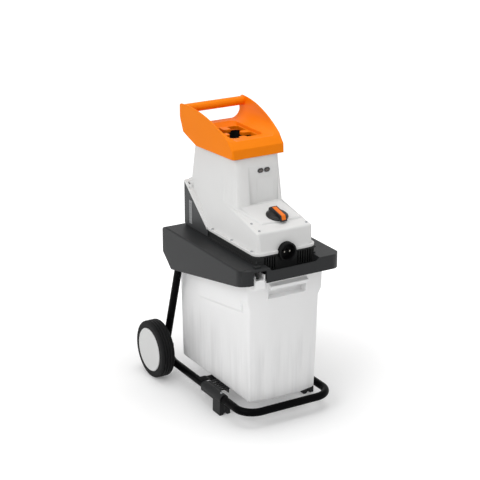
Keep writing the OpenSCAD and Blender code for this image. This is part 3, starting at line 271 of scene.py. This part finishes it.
def tyreRubber():
    paint = Paint("tyreRubber")
    cloud = paint.noise(rubber["cloud"], 4, 0.6)
    grain = paint.noise(rubber["grain"], 3, 0.65)
    share = cloud * rubber["cloudTint"] + grain * rubber["grainTint"]
    paint.set(Base_Color=paint.mix(share, tint(rubber["deep"]), tint(rubber["colour"])),
              Roughness=rubber["rough"] + cloud * rubber["wander"],
              Normal=paint.bump(grain, rubber["depth"], rubber["grainShow"]),
              Specular_IOR_Level=rubber["gloss"])
    return paint.material


# the rib colour and its streak settings are painted shade: the inner ribs show through as greyer upright
# streaks low on the wall
milky = {"colour": "#fdfdfd", "deep": "#fafafa", "ribShadow": "#ececec", "rough": 0.42, "wander": 0.08, "cloud": 5,
         "grain": 900, "depth": 0.0001, "grainShow": 0.5, "through": 0.03, "cloudy": 0.25, "spread": 0.006,
         "ior": 1.45, "shadeTop": 0.33, "shadeFull": 0.20, "shadeScale": (34, 34, 2.5), "shadeFaint": 0.42,
         "shadeStrong": 0.68}


def boxMilky():  # a cloudy wall with faint upright streaks of painted shade in its lower half, where the inner ribs show through
    paint = Paint("boxMilky")
    cloud = paint.noise(milky["cloud"], 3, 0.55)
    grain = paint.noise(milky["grain"], 2, 0.6)
    upright = paint.node("ShaderNodeMapping", None, {"Vector": paint.place(), "Scale": milky["shadeScale"]})
    shadeStreak = paint.node("ShaderNodeMapRange", None,
                        {"Value": paint.noise(1, 3, 0.55, upright), "From Min": milky["shadeFaint"],
                         "From Max": milky["shadeStrong"]})
    height = paint.node("ShaderNodeSeparateXYZ", None, {0: paint.place()}, "Z")
    low = paint.node("ShaderNodeMapRange", {"interpolation_type": "SMOOTHSTEP"},
                     {"Value": height, "From Min": milky["shadeTop"], "From Max": milky["shadeFull"]})
    plain = paint.mix(cloud, tint(milky["deep"]), tint(milky["colour"]))
    # painted shade: greyer upright streaks are mixed into the colour and fade out above the lower part of the
    # wall
    paint.set(Base_Color=paint.mix(shadeStreak * low, plain, tint(milky["ribShadow"])),
              Roughness=milky["rough"] + cloud * milky["wander"],
              Transmission_Weight=milky["through"], IOR=milky["ior"], Subsurface_Weight=milky["cloudy"],
              Subsurface_Radius=(1, 1, 1), Subsurface_Scale=milky["spread"],
              Normal=paint.bump(grain, milky["depth"], milky["grainShow"]))
    return paint.material


smoke = {"colour": "#4a3a30", "deep": "#2c2220", "rough": 0.16, "wander": 0.06, "cloud": 260, "coat": 0.6,
         "coatRough": 0.06}


def lampSmoke():
    paint = Paint("lampSmoke")
    cloud = paint.noise(smoke["cloud"], 3)
    paint.set(Base_Color=paint.mix(cloud, tint(smoke["deep"]), tint(smoke["colour"])),
              Roughness=smoke["rough"] + cloud * smoke["wander"],
              Coat_Weight=smoke["coat"], Coat_Roughness=smoke["coatRough"])
    return paint.material


finishes = {name: plastic(name) for name in plastics}
finishes.update({name: metal(name) for name in metals})
finishes.update({"tyreRubber": tyreRubber(), "boxMilky": boxMilky(), "lampSmoke": lampSmoke()})
print("finishes: %d" % len(finishes))

dressing = {
    "hopperOrange": ["hopper", "handle_bar", "feed_guard"],
    "shellWhite": ["upper_shell"],
    "deckGrey": ["deck"],
    "neckBlack": ["lower_housing", "box_latch", "interlock_switch"],
    "rearGrey": ["rear_housing"],
    "ventGrey": ["left_vent_grille", "right_vent_grille"],
    "knobBlack": ["switch_knob", "adjusting_knob", "switch_unit"],
    "knobOrange": ["knob_insert"],
    "footBlack": ["left_foot", "right_foot", "axle_spacers", "motor_fan"],
    "discPale": ["left_rim", "right_rim", "left_hub_cap", "right_hub_cap"],
    "chuteBlack": ["feed_chute", "power_inlet", "capacitor"],
    "gearNylon": ["first_gear", "second_gear"],
    "plateBare": ["panel_label"],
    "enamelBlack": ["frame_hoop", "left_leg_tube", "right_leg_tube", "box_rest"],
    "zincSteel": ["foot_screws", "flange_screws", "hood_screws", "axle_caps", "adjusting_screw"],
    "turnedSteel": ["left_axle", "right_axle", "roller_shaft", "roller_bearings", "output_gear",
                    "pressure_plate"],
    "castAlloy": ["gear_case", "gear_cover", "cutter_frame"],
    "toolSteel": ["cutting_roller"],
    "canGrey": ["motor_can"],
    "stackSteel": ["rotor"],
    "pinNickel": ["inlet_pins"],
    "tyreRubber": ["left_tyre", "right_tyre"],
    "boxMilky": ["collecting_box"],
    "lampSmoke": ["indicator_lamps"],
}
for finish, names in dressing.items():
    for name in names:
        nodes[name].data.materials.clear()
        nodes[name].data.materials.append(finishes[finish])
print("nodes dressed")


slotOf = {row["node"]: row["material_slot"] for row in frame["record"]["subparts"]}
softening = {"weld": 0.00002, "steps": 2, "cornerSteps": 5, "cornerTurn": 1, "smooth": 28, "evenWeight": 80,
             "near": 0.001}
softEdges = {  # moulded solids shown with broken edges: radius, least turn of an edge and its least length
    "hopper": {"radius": 0.0017, "turn": 30, "least": 0.0, "corner": 0.006,
               "low": (0.094, -0.111, 0.838), "high": (0.098, -0.084, 0.894),
               "leave": (0.0914, -0.1052, 0.840)},
    "upper_shell": {"radius": 0.0014, "turn": 30, "least": 0.008},
    "deck": {"radius": 0.0013, "turn": 30, "least": 0.008},
    "collecting_box": {"radius": 0.0014, "turn": 30, "least": 0.008},
    "rear_housing": {"radius": 0.0012, "turn": 30, "least": 0.008},
    "lower_housing": {"radius": 0.0008, "turn": 30, "least": 0.008},
    "feed_guard": {"radius": 0.0014, "turn": 40, "least": 0.0},
    "left_foot": {"radius": 0.0012, "turn": 35, "least": 0.006},
    "right_foot": {"radius": 0.0012, "turn": 35, "least": 0.006},
    "switch_knob": {"radius": 0.0007, "turn": 40, "least": 0.002},
    "knob_insert": {"radius": 0.0004, "turn": 40, "least": 0.002},
}


def roundEdges(piece, radius, steps, chosen):
    form = bmesh.from_edit_mesh(piece.data)
    for edge in form.edges:
        if len(edge.link_faces) == 2 and edge.is_convex:
            edge.select_set(chosen(edge))
    bmesh.update_edit_mesh(piece.data)
    bpy.ops.mesh.bevel(offset=radius, segments=steps, affect="EDGES", clamp_overlap=False)
    bpy.ops.mesh.select_all(action="DESELECT")


def softened(name):
    look = softEdges[name]

    def atCorner(edge):  # an edge of the front corners, alike on both sides
        first, last = [v.co for v in edge.verts]
        inside = all(low <= value <= high for co in (first, last) for low, value, high
                     in zip(look["low"], (abs(co.x), co.y, co.z), look["high"]))
        return inside and first.x * last.x > 0 and edge.calc_face_angle() > softening["cornerTurn"]

    def left(edge):  # a hidden inner edge that leaves no room for rounding
        if "leave" not in look:
            return False
        ends = [Vector((abs(v.co.x), v.co.y, v.co.z)) for v in edge.verts]
        return any((end - Vector(look["leave"])).length < softening["near"] for end in ends)

    def sharp(edge):
        turned = edge.calc_face_angle() > math.radians(look["turn"])
        return turned and edge.calc_length() > look["least"] and not left(edge)

    clearPick()
    piece = ownCopy(nodes[name], name + "Moulded")
    pick(piece)
    bpy.ops.object.mode_set(mode="EDIT")
    bpy.ops.mesh.select_mode(type="EDGE")
    bpy.ops.mesh.select_all(action="SELECT")
    bpy.ops.mesh.remove_doubles(threshold=softening["weld"])
    bpy.ops.mesh.select_all(action="DESELECT")
    if "corner" in look:
        roundEdges(piece, look["corner"], softening["cornerSteps"], atCorner)
    roundEdges(piece, look["radius"], softening["steps"], sharp)
    bpy.ops.object.mode_set(mode="OBJECT")
    bpy.ops.object.shade_smooth_by_angle(angle=math.radians(softening["smooth"]))
    even = piece.modifiers.new("even", "WEIGHTED_NORMAL")  # flat walls stay flat beside their soft edges
    even.keep_sharp = True
    even.weight = softening["evenWeight"]
    bpy.ops.object.modifier_apply(modifier=even.name)
    return settle(piece, bodyOf[name], slotOf[name], name)


for name in softEdges:
    made = softened(name)
    print("softened %s: %d faces" % (name, len(made.data.polygons)))


screws = {
    "hood": {"node": "hood_screws", "radius": 0.0042, "tall": 0.0022, "shank": 0.0091, "base": 0.0001},
    "flange": {"node": "flange_screws", "radius": 0.0044, "tall": 0.0028, "shank": 0.0135, "base": 0.00905},
}
head = {"sides": 28, "dome": 0.6, "domeSteps": 4, "slotLong": 1.2, "slotWide": 0.27, "slotDeep": 1.1,
        "smooth": 35, "firstTurn": 0.4, "nextTurn": 0.7}  # dome and slots in shares of the head's own size
shank = {"sides": 16, "radius": 0.0019, "overlap": 0.0001}
hoodTilt = math.atan2(31.4, 153)  # rise and run of the hood top
splitTilt = math.atan2(127, 154)  # rise and run of the slanting flange
screwSpots = {
    "hood": [((x, y, 0.6456 + (y + 0.272) * math.tan(hoodTilt)), hoodTilt)
             for x, y in ((-0.0865, -0.257), (-0.0865, -0.209), (0.0865, -0.257))],
    "flange": [((side * 0.1093, y, 0.573), 0) for side in (-1, 1) for y in (-0.247, -0.124, -0.001)]
    + [((side * 0.1093, 0.16352, 0.68476), splitTilt) for side in (-1, 1)],
}


def screwHead(kind):  # a domed head with a cross recess on a plain shank
    look = screws[kind]
    tall = look["tall"]
    clearPick()
    bpy.ops.mesh.primitive_cylinder_add(vertices=head["sides"], radius=look["radius"], depth=tall,
                                        location=(0, 0, tall / 2))
    item = bpy.context.active_object
    bpy.ops.object.transform_apply(location=True, rotation=True, scale=True)
    bpy.ops.object.mode_set(mode="EDIT")
    bpy.ops.mesh.select_mode(type="EDGE")
    bpy.ops.mesh.select_all(action="DESELECT")
    form = bmesh.from_edit_mesh(item.data)
    for edge in form.edges:
        edge.select_set(all(v.co.z > tall * 0.9 for v in edge.verts))  # the rim of the top
    bmesh.update_edit_mesh(item.data)
    bpy.ops.mesh.bevel(offset=tall * head["dome"], segments=head["domeSteps"], affect="EDGES")
    bpy.ops.object.mode_set(mode="OBJECT")
    slot = (look["radius"] * head["slotLong"], look["radius"] * head["slotWide"], tall * head["slotDeep"])
    for turn in (0, math.pi / 2):
        clearPick()
        bpy.ops.mesh.primitive_cube_add(size=1, location=(0, 0, tall), rotation=(0, 0, turn), scale=slot)
        tool = bpy.context.active_object
        pick(item)
        bite = item.modifiers.new("bite", "BOOLEAN")
        bite.object = tool
        bite.operation = "DIFFERENCE"
        bpy.ops.object.modifier_apply(modifier=bite.name)
        bpy.data.objects.remove(tool)
    clearPick()
    bpy.ops.mesh.primitive_cylinder_add(vertices=shank["sides"], radius=shank["radius"], depth=look["shank"],
                                        location=(0, 0, -look["shank"] / 2 + shank["overlap"]))
    item.select_set(True)
    bpy.context.view_layer.objects.active = item
    bpy.ops.object.join()
    bpy.ops.object.transform_apply(location=True, rotation=True, scale=True)
    bpy.ops.object.shade_smooth_by_angle(angle=math.radians(head["smooth"]))
    item.data.materials.append(finishes["zincSteel"])
    return item


def placeScrews(kind):
    model = screwHead(kind)
    look = screws[kind]
    for k, (spot, tilt) in enumerate(screwSpots[kind]):
        one = ownCopy(model, "%sScrew%d" % (kind, k))
        lift = Matrix.Translation((0, 0, look["base"]))
        turn = Matrix.Rotation(head["firstTurn"] + head["nextTurn"] * k, 4, "Z")  # each stops at its own turn
        one.data.transform(Matrix.Translation(spot) @ Matrix.Rotation(tilt, 4, "X") @ lift @ turn)
        settle(one, "base", "zinc_steel", look["node"])
    bpy.data.objects.remove(model)
    print("%s screws: %d" % (kind, len(screwSpots[kind])))


for kind in screws:
    placeScrews(kind)


lamp = {"x": (0.008, 0.032), "z": 0.792, "front": -0.1088, "back": -0.0992, "halfTall": 0.0064,
        "reach": 0.0031, "edge": (0.0006, 0.0004), "rim": 0.0013, "dip": (0.0004, -0.0005), "sides": 32,
        "smooth": 30, "ringAt": -0.1065, "ringGrow": 0.0011, "ringThick": 0.0009}


def longRound(radius, reach, fill):  # an oblong outline lying in the plan
    clearPick()
    bpy.ops.mesh.primitive_circle_add(vertices=lamp["sides"], radius=radius, fill_type=fill)
    item = bpy.context.active_object
    for v in item.data.vertices:
        v.co.x += reach if v.co.x > 0 else -reach
    return item


def lampLens():
    item = longRound(lamp["halfTall"], lamp["reach"], "NGON")
    deep = lamp["back"] - lamp["front"]
    bpy.ops.object.mode_set(mode="EDIT")
    bpy.ops.mesh.select_mode(type="FACE")
    bpy.ops.mesh.select_all(action="SELECT")
    bpy.ops.mesh.extrude_region_move(TRANSFORM_OT_translate={"value": (0, 0, deep)})
    for thick, rise in (lamp["edge"], (lamp["rim"], 0), lamp["dip"]):  # outer edge, flat rim, sunk lens
        bpy.ops.mesh.inset(thickness=thick, depth=rise)
    bpy.ops.object.mode_set(mode="OBJECT")
    item.data.materials.append(finishes["knobBlack"])
    item.data.materials.append(finishes["lampSmoke"])
    flat = [f for f in item.data.polygons if abs(f.normal.z) > 0.9 and len(f.vertices) > 4]
    max(flat, key=lambda f: f.center.z).material_index = 1  # the lens in its rim
    bpy.ops.object.shade_smooth_by_angle(angle=math.radians(lamp["smooth"]))
    return item


def lampRing():
    item = longRound(lamp["halfTall"] + lamp["ringGrow"], lamp["reach"], "NOTHING")
    bpy.ops.object.convert(target="CURVE")
    item = bpy.context.active_object
    item.data.bevel_depth = lamp["ringThick"]
    item.data.bevel_resolution = 3
    bpy.ops.object.convert(target="MESH")
    item = bpy.context.active_object
    item.data.materials.clear()
    item.data.materials.append(finishes["ventGrey"])
    bpy.ops.object.shade_smooth()
    return item


def placeLamps():
    glass, ring = lampLens(), lampRing()
    kinds = ((glass, lamp["back"], "lampLens", ["indicator_lamps"]), (ring, lamp["ringAt"], "lampRing", []))
    upright = Matrix.Rotation(math.pi / 2, 4, "X")  # the top of the model looks at the front
    for k, x in enumerate(lamp["x"]):
        for model, y, title, stands in kinds:
            one = ownCopy(model, "%s%d" % (title, k))
            one.data.transform(Matrix.Translation((x, y, lamp["z"])) @ upright)
            settle(one, "base", "lamp_plastic", *stands)
    bpy.data.objects.remove(glass)
    bpy.data.objects.remove(ring)
    print("lamps: %d" % len(lamp["x"]))


placeLamps()


plate = {"middle": (0.026, -0.1068, 0.731), "wide": 0.062, "tall": 0.074, "thick": 0.0008, "corner": 0.004,
         "cornerSteps": 4, "frame": 0.0012, "dip": (0.0003, -0.0004), "lean": 1 / 128, "smooth": 30}


def barePlate():
    clearPick()
    bpy.ops.mesh.primitive_plane_add(size=1)
    item = bpy.context.active_object
    item.name = "barePlate"
    for v in item.data.vertices:
        v.co.x *= plate["wide"]
        v.co.y *= plate["tall"]
    bpy.ops.object.mode_set(mode="EDIT")
    bpy.ops.mesh.select_all(action="SELECT")
    bpy.ops.mesh.bevel(offset=plate["corner"], segments=plate["cornerSteps"], affect="VERTICES")
    bpy.ops.mesh.select_mode(type="FACE")
    bpy.ops.mesh.select_all(action="SELECT")
    bpy.ops.mesh.extrude_region_move(TRANSFORM_OT_translate={"value": (0, 0, plate["thick"])})
    for thick, rise in ((plate["frame"], 0), plate["dip"]):  # flat frame, then the sunk field
        bpy.ops.mesh.inset(thickness=thick, depth=rise)
    bpy.ops.object.mode_set(mode="OBJECT")
    upright = Matrix.Rotation(math.pi / 2 - plate["lean"], 4, "X")
    item.data.transform(Matrix.Translation(plate["middle"]) @ upright)
    item.data.materials.append(finishes["plateBare"])
    bpy.ops.object.shade_smooth_by_angle(angle=math.radians(plate["smooth"]))
    settle(item, "base", "grey_plastic", "panel_label")
    print("plate made")


barePlate()


discLine = {"path": [(-0.015, 0.039), (-0.0148, 0.022), (-0.0145, 0.006), (-0.013, -0.008),
                     (-0.0075, -0.019), (0.003, -0.026)], "thick": 0.0009}


def discLines():
    for side, name in ((-1, "left"), (1, "right")):
        low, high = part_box(name + "_hub_cap")
        face = (low if side < 0 else high)[0] - side * discLine["thick"]
        data = bpy.data.curves.new(name + "DiscLine", "CURVE")
        data.dimensions = "3D"
        data.bevel_depth = discLine["thick"]
        data.bevel_resolution = 2
        data.use_fill_caps = True
        line = data.splines.new("POLY")
        line.points.add(len(discLine["path"]) - 1)
        for point, (y, z) in zip(line.points, discLine["path"]):
            point.co = (face, (low[1] + high[1]) / 2 + y, (low[2] + high[2]) / 2 + z, 1)
        item = bpy.data.objects.new(name + "DiscLine", data)
        bpy.context.scene.collection.objects.link(item)
        pick(item)
        bpy.ops.object.convert(target="MESH")
        item = bpy.context.active_object
        item.data.materials.append(finishes["discPale"])
        bpy.ops.object.shade_smooth()
        settle(item, name + "_wheel", "pale_plastic")
    print("disc lines made")


discLines()


# the floor's glow is held low near the model and rises towards white further out, a painted shadow round the
# model
studio = {"floor": "#f4f4f4", "floorDeep": "#efefef", "floorWide": 60, "floorCloud": 3, "paintedShadowGlow": 0.15,
          "openFloorGlow": 0.60, "shadowFadeFrom": 0.25, "shadowFadeTo": 1.1, "sky": 0.57, "skyTilt": 0.06,
          "lookAt": (0, 0, 0.45)}
lights = {"keyLeft": {"place": (-2.7, -1.1, 2.2), "size": 2.2, "power": 34},
          "topSoft": {"place": (0.1, 0.0, 3.2), "size": 2.4, "power": 27},
          "fillRight": {"place": (2.3, -2.6, 1.3), "size": 2.4, "power": 6}}


def makeFloor():
    clearPick()
    bpy.ops.mesh.primitive_plane_add(size=studio["floorWide"], location=(0, 0, 0))
    floor = bpy.context.active_object
    floor.name = "studioFloor"
    paint = Paint("floorPale", "ShaderNodeAddShader")
    soft = paint.noise(studio["floorCloud"], 2)
    base = paint.mix(soft, tint(studio["floorDeep"]), tint(studio["floor"]))
    matte = paint.node("ShaderNodeBsdfDiffuse", None, {"Color": base})
    ray = paint.seenRay()
    spread = paint.node("ShaderNodeVectorMath", {"operation": "LENGTH"}, {0: paint.place()}, "Value")
    # painted shadow: less glow near the model, more further out
    lift = paint.node("ShaderNodeMapRange", {"interpolation_type": "SMOOTHSTEP"},
                      {"Value": spread, "From Min": studio["shadowFadeFrom"], "From Max": studio["shadowFadeTo"],
                       "To Min": studio["paintedShadowGlow"], "To Max": studio["openFloorGlow"]})
    glow = paint.node("ShaderNodeEmission", None, {"Color": (1, 1, 1, 1), "Strength": ray * lift})
    paint.join(paint.surface.inputs[0], matte)
    paint.join(paint.surface.inputs[1], glow)
    floor.data.materials.append(paint.material)


def makeLights():
    sky = Paint("studioSky", "ShaderNodeMixShader", "worlds", "ShaderNodeOutputWorld")
    bpy.context.scene.world = sky.material
    way = sky.node("ShaderNodeTexCoord", None, None, "Generated")
    rear = sky.node("ShaderNodeSeparateXYZ", None, {0: way}, "Y")
    level = studio["sky"] + rear * (studio["sky"] * studio["skyTilt"])  # a little dimmer towards the front
    sky.join(sky.surface.inputs[0], sky.seenRay())
    for socket, strength in zip(sky.surface.inputs[1:], (level, 1)):  # the light it gives, then how it looks
        glow = sky.node("ShaderNodeBackground", None, {"Color": (1, 1, 1, 1), "Strength": strength})
        sky.join(socket, glow)
    for name, look in lights.items():
        data = bpy.data.lights.new(name, "AREA")
        data.shape = "DISK"
        data.size = look["size"]
        data.energy = look["power"]
        light = bpy.data.objects.new(name, data)
        bpy.context.scene.collection.objects.link(light)
        light.location = look["place"]
        light.rotation_euler = facing(look["place"], studio["lookAt"])


makeFloor()
makeLights()
bpy.context.scene.view_settings.view_transform = "Standard"
print("studio lit")
